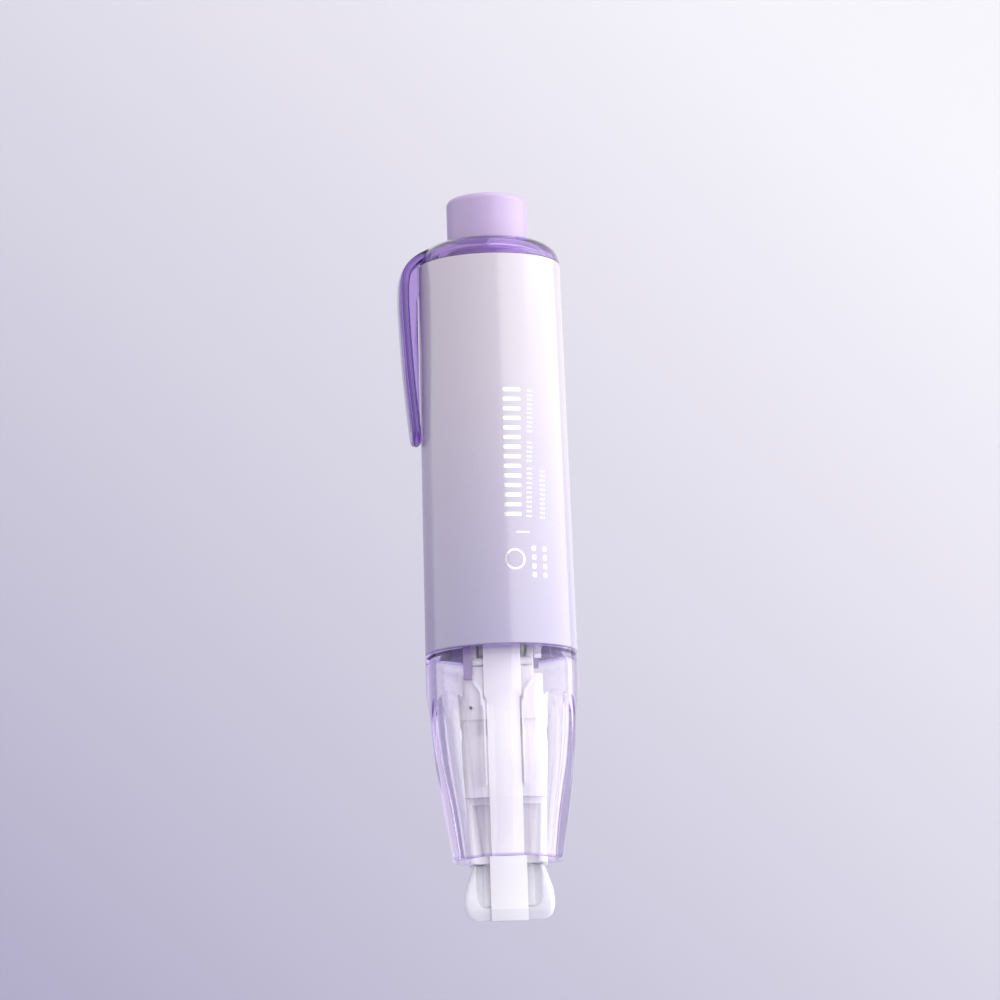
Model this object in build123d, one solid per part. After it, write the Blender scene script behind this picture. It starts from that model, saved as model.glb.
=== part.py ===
from build123d import *
from math import asin, degrees, pi, radians, sin, sqrt
import os

# Correction tape pen with a press button. The pen stands upright, tip down, its axis on Z.
# The tape comes down the front, which faces -Y. Heights below are millimetres above the tip;
# every piece is lowered on export so that the origin is on the axis at the middle of the grip.
GRIP_HEIGHT = 22.0

# Travel of the cartridge: rest is the writing position, with the button latched down.
RETRACT = 8.0
PRESS = 1.5
RUN = 0.1  # ordinary radial gap between pieces that move past each other

# Outer shell
SLEEVE_BOTTOM = 36.3
SLEEVE_TOP = 90.15
SLEEVE_R_BOTTOM = 10.35
SLEEVE_R_TOP = 9.78
SLEEVE_WALL = 0.85
CAP_TOP = 93.3
CAP_SHOULDER_R = 5.9  # the dome curves down outside this radius
CAP_WALL = 1.2
SPIGOT_LOW = 84.5
SPIGOT_WALL = 0.6
BUTTON_R = 5.56
BUTTON_FLANGE_R = 6.4
BUTTON_BORE_R = 4.3
BUTTON_TOP = 99.7
BUTTON_EDGE = 1.0

# Pocket clip, part of the cap
CLIP_TURN = 9.0  # degrees from -X towards the front
CLIP_WIDTH = 4.4
CLIP_THICK = 1.2
CLIP_WEB = 2.6
CLIP_TIP_HEIGHT = 64.9
CLIP_TIP_GAP = 0.12
# The blade's outer face, as (radius, height), from above the tip up and over onto the cap
CLIP_FACE = [(11.67, 68.7), (12.13, 74.1), (12.43, 79.6), (12.6, 85.5), (12.25, 89.0), (10.9, 91.0)]
CLIP_ROOT = (8.4, 92.5)
# The underside of the arch, where the blade leaves the cap
CLIP_ARMPIT = [(11.38, 85.2), (10.95, 88.7), (9.9, 90.4)]
WEB_GAP = 0.35  # between the web and the sleeve
BRIDGE_LOW = 86.3  # below this the web stands clear of the sleeve

# Clear nose
NOSE_MOUTH = 8.1
MOUTH_R = 6.45
# Outer and inner side views between the mouth and the straight rim, as (radius, height)
NOSE_FLANK = [(8.0, 8.6), (8.85, 13.7), (9.25, 16.2), (10.05, 21.9), (10.36, 28.4), (10.39, 32.0)]
NOSE_BORE = [(6.45, 9.5), (7.0, 14.0), (7.45, 16.8), (8.35, 22.0), (8.85, 28.0), (8.95, 32.0)]
FLUTES = 8
FLUTE_R = 9.0
# The deepest line of a flute, as (radius, height); it ends in a round arch above the last point
FLUTE_FLOOR = [(6.74, 7.4), (8.6, 19.0), (9.45, 27.9)]
NECK_TOP = 41.5
NECK_R_IN = 8.4
NECK_R_OUT = 8.9
LUGS = 3
LUG_ARC = 12.0
LUG_LOW = 39.5
LUG_HIGH = 40.5
LUG_REACH = 0.4
LUG_PLAY = 0.15
TWIST = 25.0
COUPLING_TOP = 43.0

# Latch housing, rotor and spring
HOUSING_BOTTOM = 69.2
HOUSING_TOP = 90.3
BULKHEAD = 1.2
HOUSING_BORE = 6.9
HOUSING_STEP = 84.3  # above this the tube is thinner, to fit inside the cap's spigot
GROOVE_R = 7.75
GROOVE_PLAY = 0.35
ROTOR_HEIGHT = 81.2  # middle of the rotor at rest
ROTOR_R = 6.7
ROTOR_THICK = 2.0
PIN_R = 0.45
PIN_REACH = 0.8
CAM_STEPS = 4
ROD_R = 1.6
SPRING_R = 3.2
SPRING_WIRE_R = 0.3
SPRING_TURNS = 7
WASHER_THICK = 0.6
ROD_CLIP_THICK = 0.5

# Cartridge
PLATE_IN = 3.35
PLATE_OUT = 4.2
PLATE_SHOULDER = 5.3
PLATE_HALF = 4.6
PLATE_LOW = 32.0
TAB_HALF = 1.4
BARB = 0.35
TAPE_HALF = 2.5
SUPPLY_HEIGHT = 51.2
SUPPLY_R = 7.3
SUPPLY_FLANGE_R = 7.6
MODULE = 0.4
SUPPLY_TEETH = 24
IDLER_TEETH = 16
TAKEUP_TEETH = 10
GEAR_IN = 4.45
GEAR_OUT = 5.4
SUPPLY_HUB_R = 2.2
SUPPLY_CORE_R = 3.0
SUPPLY_AXLE_R = 1.2
IDLER_AXLE_R = 1.0
TAKEUP_AXLE_R = 0.7
TAKEUP_CORE_R = 2.2
TAKEUP_NECK_R = 1.35
TAKEUP_FLANGE_R = 4.9
FILM_ROLL_R = 2.9
SPOOL_HALF = 3.05
SPOOL_FLANGE = 0.45
BOX_HALF = 5.4
BOX_BOTTOM = 16.4
BOX_TOP = 33.9
BOX_DEPTH_BOTTOM = 4.2
BOX_DEPTH_TOP = 5.6
BOX_WALL = 0.8
SHOULDER_DROP = 1.1  # the box's corners outside the plates are this much lower
WAIST_LOW = 24.6
WAIST_HIGH = 26.8
WAIST_DEPTH = 0.3
PIN_LENGTH_HALF = 3.95
PIN_FRONT = -5.0
PIN_HEIGHT = 34.6
GUIDE_PIN_R = 0.6
NECK_HALF = 5.3
NECK_DEPTH = 3.0
CHANNEL_HALF = 4.1
CHANNEL_DEPTH = 2.2
HEAD_STEM_TOP = 13.0
HEAD_STEM_HALF = 3.2
HEAD_HALF_THICK = 1.4
# Half of the head's front view, from the pressing edge up, as (half width, height)
HEAD_FLANK = [(4.75, 0.15), (5.75, 0.9), (6.12, 2.3), (5.98, 3.9), (5.35, 6.0), (4.8, 7.5)]
# Half of the head's side view, from the pressing edge up, as (half thickness, height)
HEAD_WEDGE = [(0.3, 0.16), (1.15, 1.6), (1.4, 3.0), (1.4, 8.0)]
TAPE_THICK = 0.12
TAPE_LIFT = TAPE_THICK / 2 + 0.08  # from a surface to the middle of the tape that passes over it
EDGE_HEIGHT = 0.06  # middle of the tape under the pressing edge

IDLER_HEIGHT = SUPPLY_HEIGHT - MODULE * (SUPPLY_TEETH + IDLER_TEETH) / 2
TAKEUP_HEIGHT = IDLER_HEIGHT - MODULE * (IDLER_TEETH + TAKEUP_TEETH) / 2
HOUSING_FLOOR = HOUSING_BOTTOM + BULKHEAD
CARRIAGE_DISC = SUPPLY_HEIGHT + SUPPLY_FLANGE_R + 0.2
CARRIAGE_R = 8.3
DISC_THICK = 1.4
ROD_BOSS_R = 2.6
ROD_BOSS_HEIGHT = 0.7
PRONG = (-5.1, -4.0, -6.25, -5.4)  # left, right, front and back faces of the front prong
FRONT_PRONG_LOW = BOX_TOP - 1.7
BACK_PRONG_LOW = BOX_TOP + 1.2


def sleeve_r(height):
    """Outer radius of the sleeve at a height."""
    share = (height - SLEEVE_BOTTOM) / (SLEEVE_TOP - SLEEVE_BOTTOM)
    return SLEEVE_R_BOTTOM + share * (SLEEVE_R_TOP - SLEEVE_R_BOTTOM)


def turned(points):
    """A solid of revolution about Z from a closed outline of (radius, height) points."""
    return revolve(Plane.XZ * make_face(Polyline(*points, close=True)), Axis.Z)


def turned_edges(*edges):
    """A solid of revolution about Z from edges that close on themselves."""
    return revolve(Plane.XZ * make_face(list(edges)), Axis.Z)


def tube(r_in, r_out, low, high):
    """A plain ring or tube about Z."""
    return turned([(r_in, low), (r_out, low), (r_out, high), (r_in, high)])


def disc(radius, low, high):
    """A plain cylinder about Z."""
    return Pos(0, 0, low) * extrude(Circle(radius), high - low)


def block(x0, x1, y0, y1, z0, z1):
    """A rectangular block between two corners."""
    return Pos((x0 + x1) / 2, (y0 + y1) / 2, (z0 + z1) / 2) * Box(x1 - x0, y1 - y0, z1 - z0)


def sector(r_in, r_out, low, high, start, arc):
    """Part of a ring, from the angle start through arc, in degrees about Z."""
    face = Plane.XZ * make_face(
        Polyline((r_in, low), (r_out, low), (r_out, high), (r_in, high), close=True)
    )
    return Rot(0, 0, start) * revolve(face, Axis.Z, revolution_arc=arc)


def around(piece, count):
    """Copies of a piece, evenly spaced about Z."""
    return [Rot(0, 0, i * 360 / count) * piece for i in range(count)]


def rod_x(radius, x0, x1, y, z):
    """A round pin or shaft along X."""
    return extrude(Plane.YZ.offset(x0) * Pos(y, z) * Circle(radius), x1 - x0)


def ring_x(r_in, r_out, x0, x1, z):
    """A ring about an axis along X, on the pen's axis."""
    ring = Pos(0, z) * (Circle(r_out) - Circle(r_in))
    return extrude(Plane.YZ.offset(x0) * ring, x1 - x0)


def gear_face(teeth, bore, turn):
    """A spur gear's outline in its own plane: straight-sided teeth on a root disc."""
    pitch_r = MODULE * teeth / 2
    root = pitch_r - 1.1 * MODULE
    tip = pitch_r + 0.75 * MODULE
    pitch = pi * MODULE
    tooth = make_face(
        Polyline(
            (root - 0.15, -0.26 * pitch),
            (root - 0.15, 0.26 * pitch),
            (tip, 0.1 * pitch),
            (tip, -0.1 * pitch),
            close=True,
        )
    )
    face = Circle(root)
    for i in range(teeth):
        face += Rot(0, 0, turn + i * 360 / teeth) * tooth
    return face - Circle(bore)


def gear_x(teeth, bore, turn, x0, x1, z):
    """A spur gear about an axis along X."""
    return extrude(Plane.YZ.offset(x0) * Pos(0, z) * gear_face(teeth, bore, turn), x1 - x0)


def strip(points, corner_r, thickness=TAPE_THICK, half=TAPE_HALF):
    """A flat strip that follows (y, z) points, bent with one radius at each corner."""
    path = FilletPolyline(*points, radius=corner_r)
    return extrude(Plane.YZ * trace(path, thickness), half, both=True)


# ---------------------------------------------------------------- outer shell


def make_barrel_sleeve():
    """The printed, slightly tapered outer tube."""
    return turned(
        [
            (SLEEVE_R_BOTTOM - SLEEVE_WALL, SLEEVE_BOTTOM),
            (SLEEVE_R_BOTTOM - 0.15, SLEEVE_BOTTOM),
            (SLEEVE_R_BOTTOM, SLEEVE_BOTTOM + 0.2),
            (SLEEVE_R_TOP, SLEEVE_TOP - 0.15),
            (SLEEVE_R_TOP - 0.12, SLEEVE_TOP),
            (SLEEVE_R_TOP - SLEEVE_WALL, SLEEVE_TOP),
        ]
    )


def clip_outline():
    """The clip's side view as (radius, height): an arch off the cap, then a curved blade."""
    tip_in = sleeve_r(CLIP_TIP_HEIGHT) + CLIP_TIP_GAP
    tip_out = tip_in + CLIP_THICK
    foot_height = CLIP_TIP_HEIGHT + CLIP_THICK / 2
    outer = Spline((tip_out, foot_height), *CLIP_FACE, CLIP_ROOT, tangents=[(0.1, 1), (-1, 0.4)])
    root = Polyline(CLIP_ROOT, (CLIP_ROOT[0], SLEEVE_TOP + 1), CLIP_ARMPIT[-1])
    blade = [(r - CLIP_THICK, z) for r, z in CLIP_FACE[:3]]
    inner = Spline((tip_in, foot_height), *blade, *CLIP_ARMPIT, tangents=[(0.1, 1), (-1, 0.5)])
    foot = ThreePointArc(
        (tip_in, foot_height),
        ((tip_in + tip_out) / 2, CLIP_TIP_HEIGHT),
        (tip_out, foot_height),
    )
    return make_face([outer, root, inner, foot])


def clip_web_outline():
    """The stiffening web between the clip's blade and the sleeve, as (radius, height)."""
    low = CLIP_TIP_HEIGHT + 2.0
    inside = CLIP_THICK / 2  # the web reaches half way into the blade
    blade = [(r - inside, z) for r, z in CLIP_FACE[:4]]
    return make_face(
        Polyline(
            (sleeve_r(low) + WEB_GAP, low),
            (sleeve_r(low) + CLIP_THICK, low),
            *blade,
            (11.4, 89.4),
            (9.9, SLEEVE_TOP + 0.45),
            (9.9, SLEEVE_TOP + 0.05),
            (sleeve_r(SLEEVE_TOP) + 0.15, SLEEVE_TOP),
            (sleeve_r(BRIDGE_LOW) + 0.1, BRIDGE_LOW),
            (sleeve_r(BRIDGE_LOW) + WEB_GAP, BRIDGE_LOW - 0.3),
            close=True,
        )
    )


def clip_tip_mask():
    """The clip's front view: parallel sides with a half-round tip."""
    half = CLIP_WIDTH / 2
    middle = CLIP_TIP_HEIGHT + half
    return block(0, 20, -half, half, middle, CAP_TOP) + rod_x(half, 0, 20, 0, middle)


def dome(inset):
    """The cap's dome as a solid of revolution, shrunk by inset."""
    edge = EllipticalCenterArc(
        (CAP_SHOULDER_R, SLEEVE_TOP),
        SLEEVE_R_TOP - CAP_SHOULDER_R - inset,
        CAP_TOP - SLEEVE_TOP - inset,
        start_angle=0,
        arc_size=90,
    )
    inside = Polyline(edge @ 1, (0, CAP_TOP - inset), (0, SLEEVE_TOP), edge @ 0)
    return turned_edges(edge, inside)


def make_clip_cap():
    """Clear domed end cap with its spigot, and the pocket clip moulded on."""
    blade = extrude(Plane.XZ * clip_outline(), CLIP_WIDTH / 2, both=True)
    blade = fillet(blade.edges().filter_by(lambda e: e.length > 15), 0.4) & clip_tip_mask()
    web = extrude(Plane.XZ * clip_web_outline(), CLIP_WEB / 2, both=True)
    cap = dome(0) + Rot(0, 0, 180 + CLIP_TURN) * (blade + web)
    cap -= dome(CAP_WALL)
    cap -= disc(BUTTON_R + RUN, SLEEVE_TOP - 1, CAP_TOP + 1)
    spigot_r = SLEEVE_R_TOP - SLEEVE_WALL - 0.03
    return cap + tube(spigot_r - SPIGOT_WALL, spigot_r, SPIGOT_LOW, SLEEVE_TOP)


def make_push_button():
    """Opaque button: a hollow cup, flanged below so that the cap keeps it in."""
    skirt = ROTOR_HEIGHT + ROTOR_THICK / 2 + 0.1
    cup = disc(BUTTON_R, skirt, BUTTON_TOP)
    cup = fillet(cup.edges().group_by(Axis.Z)[-1], BUTTON_EDGE)
    cup += disc(BUTTON_FLANGE_R, skirt, skirt + 1.0)
    return cup - disc(BUTTON_BORE_R, skirt, BUTTON_TOP - 1.3)


# ---------------------------------------------------------------- clear nose


def nose_outer_edges():
    """The nose's side view before the flutes are cut."""
    rim_height = SLEEVE_BOTTOM - 0.02
    flank = Spline(*NOSE_FLANK, tangents=[(0.18, 1), (0.0, 1)])
    rim = Line(flank @ 1, (NOSE_FLANK[-1][0], rim_height))
    lip = ThreePointArc((7.1, NOSE_MOUTH), (7.42, NOSE_MOUTH + 0.12), flank @ 0)
    close = Polyline(rim @ 1, (0, rim_height), (0, NOSE_MOUTH), lip @ 0)
    return [lip, flank, rim, close]


def nose_inner_edges():
    """The hollow of the nose, from the mouth up to the neck."""
    flank = Spline(*NOSE_BORE, tangents=[(0.04, 1), (0.0, 1)])
    close = Polyline(
        flank @ 1,
        (NOSE_BORE[-1][0], SLEEVE_BOTTOM - 1.2),
        (NECK_R_IN, SLEEVE_BOTTOM),
        (NECK_R_IN, NECK_TOP + 1),
        (0, NECK_TOP + 1),
        (0, NOSE_MOUTH - 1),
        (MOUTH_R + 0.35, NOSE_MOUTH - 1),
        (MOUTH_R + 0.35, NOSE_MOUTH),
        (MOUTH_R, NOSE_MOUTH + 0.35),
        flank @ 0,
    )
    return [flank, close]


def make_flute_cutter():
    """What one flute takes away: a bent round bar beside the nose, with a ball at its top end."""
    path = Plane.XZ * ThreePointArc(*[(r + FLUTE_R, z) for r, z in FLUTE_FLOOR])
    bar = sweep(Plane(path @ 0, z_dir=path % 0) * Circle(FLUTE_R), path)
    return Rot(0, 0, -90) * (bar + Pos(path @ 1) * Sphere(FLUTE_R))


def make_nose_grip():
    """Clear fluted grip with the mouth that the head comes out of, and a bayonet neck."""
    nose = turned_edges(*nose_outer_edges())
    for cutter in around(make_flute_cutter(), FLUTES):
        nose -= cutter
    nose += disc(NECK_R_OUT, SLEEVE_BOTTOM - 0.1, NECK_TOP)
    lug = sector(NECK_R_OUT - 0.1, NECK_R_OUT + LUG_REACH, LUG_LOW, LUG_HIGH, 0, LUG_ARC)
    for piece in around(lug, LUGS):
        nose += piece
    return nose - turned_edges(*nose_inner_edges())


def make_coupling_ring():
    """Ring glued into the sleeve, with the nose's bayonet slots."""
    low = SLEEVE_BOTTOM + 0.3
    inner = NECK_R_OUT + 0.06
    outer = SLEEVE_R_BOTTOM - SLEEVE_WALL - 0.1
    ring = tube(inner, outer, low, COUPLING_TOP)
    cut = (inner - 0.2, outer + 0.2)
    window = sector(*cut, LUG_LOW - LUG_PLAY, LUG_HIGH + LUG_PLAY, -1, LUG_ARC + TWIST + 2)
    entry = sector(*cut, low - 1, LUG_HIGH + LUG_PLAY, TWIST - 1, LUG_ARC + 2)
    for piece in around(window, LUGS) + around(entry, LUGS):
        ring -= piece
    return ring


# ---------------------------------------------------------------- latch


def groove_leg(start_angle, start_z, end_angle, end_z, width):
    """A slanted slot seen from the axis, cut outwards through the bore's wall."""
    middle = (start_angle + end_angle) / 2
    reach = GROOVE_R - 0.4
    x0 = reach * sin(radians(start_angle - middle))
    x1 = reach * sin(radians(end_angle - middle))
    length = sqrt((x1 - x0) ** 2 + (end_z - start_z) ** 2)
    tilt = Rot(0, 0, degrees(asin((end_z - start_z) / length)))
    face = Pos((x0 + x1) / 2, (start_z + end_z) / 2) * tilt * SlotCenterToCenter(length, width)
    outward = Plane((0, 0, 0), x_dir=(0, 1, 0), z_dir=(1, 0, 0))
    return Rot(0, 0, middle) * extrude(outward * face, GROOVE_R + 1)


def make_latch_housing():
    """Tube fixed under the cap, with the spring's floor and the zigzag guide groove."""
    outer = SLEEVE_R_TOP - SLEEVE_WALL - 0.05
    body = disc(outer, HOUSING_BOTTOM, HOUSING_STEP)
    body += disc(outer - SPIGOT_WALL - 0.1, HOUSING_STEP, HOUSING_TOP)
    body -= disc(HOUSING_BORE, HOUSING_FLOOR, HOUSING_TOP + 1)
    body -= disc(ROD_R + RUN, HOUSING_BOTTOM - 1, HOUSING_TOP)
    low = ROTOR_HEIGHT - PRESS
    high = ROTOR_HEIGHT + RETRACT
    rise = 360 / CAM_STEPS / 2
    lead = -rise * PRESS / RETRACT
    width = 2 * PIN_R + GROOVE_PLAY
    legs = []
    for i in range(CAM_STEPS):
        base = i * 360 / CAM_STEPS
        legs.append(groove_leg(base + lead, low, base + rise, high, width))
        legs.append(groove_leg(base + lead, low, base - rise, high, width))
    limit = disc(GROOVE_R, HOUSING_FLOOR, HOUSING_TOP + 1)
    for leg in legs:
        body -= leg & limit
    return body


def make_index_rotor():
    """Rotor that turns on the rod as its pins follow the zigzag groove."""
    low = ROTOR_HEIGHT - ROTOR_THICK / 2
    rotor = tube(ROD_R + RUN / 2, ROTOR_R, low, low + ROTOR_THICK)
    rotor -= tube(4.4, 5.8, low, low + 0.8)
    pin = rod_x(PIN_R, ROTOR_R - 0.4, ROTOR_R + PIN_REACH, 0, ROTOR_HEIGHT)
    for piece in around(pin, CAM_STEPS):
        rotor += piece
    return rotor


def make_return_spring():
    """Compression spring that lifts the rod from the housing's floor."""
    top = ROTOR_HEIGHT - ROTOR_THICK / 2 - WASHER_THICK - 0.1
    height = top - HOUSING_FLOOR - 2 * SPRING_WIRE_R - 0.04
    path = Helix(height / SPRING_TURNS, height, SPRING_R)
    wire = sweep(Plane(path @ 0, z_dir=path % 0) * Circle(SPRING_WIRE_R), path, is_frenet=True)
    return Pos(0, 0, HOUSING_FLOOR + SPRING_WIRE_R + 0.02) * wire


def make_spring_washer():
    """Thin washer between the spring and the turning rotor."""
    top = ROTOR_HEIGHT - ROTOR_THICK / 2 - 0.08
    return tube(ROD_R + 0.05, 4.2, top - WASHER_THICK, top)


def make_rod_clip():
    """Snap ring that keeps the rotor on the rod."""
    low = ROTOR_HEIGHT + ROTOR_THICK / 2 + 0.08
    ring = tube(ROD_R - 0.3, 3.0, low, low + ROD_CLIP_THICK)
    return ring - block(0, 4, -0.8, 0.8, low - 1, low + 1)


# ---------------------------------------------------------------- carriage


def make_carriage():
    """Disc, push rod and two prongs that carry the cartridge."""
    low = CARRIAGE_DISC
    top = low + DISC_THICK
    rotor_top = ROTOR_HEIGHT + ROTOR_THICK / 2
    body = disc(CARRIAGE_R, low, top) + disc(ROD_BOSS_R, top, top + ROD_BOSS_HEIGHT)
    body += disc(ROD_R, low, rotor_top + 1.3)
    body -= tube(ROD_R - 0.32, ROD_R + 1, rotor_top + 0.06, rotor_top + 0.1 + ROD_CLIP_THICK)
    body += block(*PRONG, FRONT_PRONG_LOW, low + 0.5)
    body += Rot(0, 0, 180) * block(*PRONG, BACK_PRONG_LOW, low + 0.5)
    for side in (-1, 1):
        middle = side * (PLATE_IN + PLATE_OUT) / 2
        body -= block(middle - 0.55, middle + 0.55, -1.6, 1.6, low - 1, low + 3)
    return body


# ---------------------------------------------------------------- cartridge


def box_section(height, half, depth):
    """A rounded rectangle across the pen at a height."""
    return Pos(0, 0, height) * RectangleRounded(2 * half, 2 * depth, 1.0)


def box_block(inset, low, high):
    """The cartridge's box as a solid, shrunk by inset all round."""
    slope = (BOX_DEPTH_TOP - BOX_DEPTH_BOTTOM) / (BOX_TOP - BOX_BOTTOM)
    depths = [BOX_DEPTH_BOTTOM + slope * (z - BOX_BOTTOM) - inset for z in (low, high)]
    half = BOX_HALF - inset
    return loft([box_section(low, half, depths[0]), box_section(high, half, depths[1])])


def make_box():
    """The open-topped box that the spent film's spool dips into."""
    box = box_block(0, BOX_BOTTOM, BOX_TOP)
    for side in (-1, 1):
        corner = sorted((side * PIN_LENGTH_HALF, side * 6))
        box -= block(*corner, -7, 7, BOX_TOP - SHOULDER_DROP, BOX_TOP + 1)
    box -= box_block(BOX_WALL, BOX_BOTTOM + BOX_WALL, BOX_TOP + 1)
    outside = box_block(-0.5, WAIST_LOW, WAIST_HIGH)
    return box - (outside - box_block(WAIST_DEPTH, WAIST_LOW, WAIST_HIGH))


def make_neck():
    """The neck below the box, with a channel for the tape and the socket for the head."""
    neck = block(-NECK_HALF, NECK_HALF, -NECK_DEPTH, NECK_DEPTH, 7.6, BOX_BOTTOM + 0.3)
    neck = fillet(neck.edges().filter_by(Axis.Z), 0.8)
    for side in (-1, 1):
        channel = sorted((side * CHANNEL_DEPTH, side * 4))
        neck -= block(-CHANNEL_HALF, CHANNEL_HALF, *channel, 7, BOX_BOTTOM - 0.9)
    socket_half = HEAD_STEM_HALF + 0.1
    socket_depth = HEAD_HALF_THICK + 0.15
    return neck - block(
        -socket_half, socket_half, -socket_depth, socket_depth, 7, HEAD_STEM_TOP + 0.05
    )


def make_tape_guide(side):
    """A rib on the front of the box that keeps the tape's edge in line and flares at the top."""
    outline = Polyline(
        (side * 2.75, 18.0),
        (side * 3.05, 18.0),
        (side * 3.05, 30.4),
        (side * 4.1, 31.9),
        (side * 3.8, 32.1),
        (side * 2.75, 30.5),
        close=True,
    )
    rib = extrude(Plane.XZ.offset(4.2) * make_face(outline), 2.2)
    return rib & box_block(-0.4, BOX_BOTTOM, BOX_TOP)


def make_side_plate(side):
    """Upright plate beside the spools, with the tab that snaps into the carriage."""
    x0, x1 = sorted((side * PLATE_IN, side * PLATE_OUT))
    upper = PLATE_HALF - 1.0
    half_outline = [
        (PLATE_SHOULDER, PLATE_LOW),
        (PLATE_SHOULDER, PLATE_LOW + 3.4),
        (PLATE_HALF, PLATE_LOW + 5.0),
        (PLATE_HALF, CARRIAGE_DISC - 2.0),
        (upper, CARRIAGE_DISC - 0.4),
    ]
    outline = half_outline + [(-y, z) for y, z in reversed(half_outline)]
    plate = extrude(Plane.YZ.offset(x0) * make_face(Polyline(*outline, close=True)), x1 - x0)
    disc_top = CARRIAGE_DISC + DISC_THICK
    tab_top = disc_top + 0.7
    plate += block(x0, x1, -TAB_HALF, TAB_HALF, CARRIAGE_DISC - 1, tab_top)
    barb = sorted((side * PLATE_IN, side * (PLATE_OUT + BARB)))
    return plate + block(*barb, -TAB_HALF, TAB_HALF, disc_top + 0.05, tab_top)


def make_cartridge_body():
    """The cartridge before it is split: box, neck, side plates and tape guides."""
    body = make_box() + make_neck()
    body -= block(-2.8, 2.8, 2.5, 3.5, BOX_BOTTOM - 1, BOX_BOTTOM + 1)
    for side in (-1, 1):
        body += make_side_plate(side) + make_tape_guide(side)
    body -= Pos(-4.3, -5.3, 28.4) * Rot(90, 0, 0) * Cylinder(0.22, 3)
    pin_hole = PIN_LENGTH_HALF + 0.02
    return body - rod_x(GUIDE_PIN_R + 0.02, -pin_hole, pin_hole, PIN_FRONT, PIN_HEIGHT)


def make_cartridge_frame(body):
    """Left half of the cartridge, with the two axle stubs."""
    frame = body & block(-10, 0, -10, 10, 0, 80)
    stub = (-PLATE_IN - 0.1, GEAR_OUT + 0.2)
    frame += rod_x(SUPPLY_AXLE_R, *stub, 0, SUPPLY_HEIGHT)
    return frame + rod_x(TAKEUP_AXLE_R, *stub, 0, TAKEUP_HEIGHT)


def make_cartridge_cover(body):
    """Right half of the cartridge, with the hub holes and the idler's stub."""
    cover = body & block(0, 10, -10, 10, 0, 80)
    cover -= rod_x(SUPPLY_HUB_R + RUN, 3, 5, 0, SUPPLY_HEIGHT)
    cover -= rod_x(TAKEUP_NECK_R + RUN, 3, 5, 0, TAKEUP_HEIGHT)
    return cover + rod_x(IDLER_AXLE_R, PLATE_OUT - 0.1, GEAR_OUT + 0.3, 0, IDLER_HEIGHT)


def make_guide_pin():
    """Steel pin that the tape runs over at the top of the box."""
    return rod_x(GUIDE_PIN_R, -PIN_LENGTH_HALF, PIN_LENGTH_HALF, PIN_FRONT, PIN_HEIGHT)


def make_applicator_head():
    """Bell-shaped foot with a thin pressing edge and a stem that plugs into the neck."""
    right = Spline(*HEAD_FLANK, tangents=[(1, 0.35), (-0.28, 1)])
    left = mirror(right, Plane.YZ)
    front_view = make_face([right, Line(right @ 1, left @ 1), left, Line(left @ 0, right @ 0)])
    wedge = HEAD_WEDGE + [(-y, z) for y, z in reversed(HEAD_WEDGE)]
    side_view = make_face(Polyline(*wedge, close=True))
    head = extrude(Plane.XZ * front_view, HEAD_HALF_THICK, both=True)
    head &= extrude(Plane.YZ * side_view, 8, both=True)
    top = HEAD_FLANK[-1][1]
    for side in (-1, 1):
        pocket = Pos(0, 5.7) * RectangleRounded(8.8, 8.0, 1.4)
        plate = sorted((side * 0.7, side * 1.1))
        head -= extrude(Plane.XZ.offset(side * 0.75) * pocket, side * 2)
        head += block(-3.44, 3.44, *plate, 1.9, top)
    stem = (-HEAD_STEM_HALF, HEAD_STEM_HALF, -HEAD_HALF_THICK, HEAD_HALF_THICK)
    return head + block(*stem, top - 0.1, HEAD_STEM_TOP)


def make_supply_core():
    """Supply hub with two thin flanges and a sleeve that reaches out to its gear."""
    bore = SUPPLY_AXLE_R + RUN / 2
    core = ring_x(bore, SUPPLY_CORE_R, -SPOOL_HALF, SPOOL_HALF, SUPPLY_HEIGHT)
    for x in (-SPOOL_HALF, SPOOL_HALF - SPOOL_FLANGE):
        core += ring_x(bore, SUPPLY_FLANGE_R, x, x + SPOOL_FLANGE, SUPPLY_HEIGHT)
    return core + ring_x(bore, SUPPLY_HUB_R, SPOOL_HALF - 0.05, GEAR_OUT, SUPPLY_HEIGHT)


def make_tape_roll():
    """The wound correction tape."""
    return ring_x(SUPPLY_CORE_R + 0.02, SUPPLY_R, -TAPE_HALF, TAPE_HALF, SUPPLY_HEIGHT)


def make_clutch_ring():
    """Rubber ring that lets the supply hub slip in its gear."""
    return ring_x(SUPPLY_HUB_R + 0.01, SUPPLY_CORE_R, GEAR_IN, GEAR_OUT, SUPPLY_HEIGHT)


def make_supply_gear():
    """Gear that the supply hub drives through the clutch ring."""
    return gear_x(SUPPLY_TEETH, SUPPLY_CORE_R + 0.02, 0, GEAR_IN, GEAR_OUT, SUPPLY_HEIGHT)


def make_idler_gear():
    """Idler between the two spools."""
    bore = IDLER_AXLE_R + RUN / 2
    return gear_x(IDLER_TEETH, bore, 180 / IDLER_TEETH, GEAR_IN, GEAR_OUT, IDLER_HEIGHT)


def make_takeup_spool():
    """Take-up spool with its pinion moulded on."""
    bore = TAKEUP_AXLE_R + RUN / 2
    spool = ring_x(bore, TAKEUP_CORE_R, -SPOOL_HALF, SPOOL_HALF, TAKEUP_HEIGHT)
    for x in (-SPOOL_HALF, SPOOL_HALF - SPOOL_FLANGE):
        spool += ring_x(bore, TAKEUP_FLANGE_R, x, x + SPOOL_FLANGE, TAKEUP_HEIGHT)
    spool += ring_x(bore, TAKEUP_NECK_R, SPOOL_HALF - 0.05, GEAR_IN + 0.1, TAKEUP_HEIGHT)
    return spool + gear_x(
        TAKEUP_TEETH, bore, 180 / TAKEUP_TEETH, GEAR_IN, GEAR_OUT, TAKEUP_HEIGHT
    )


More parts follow.
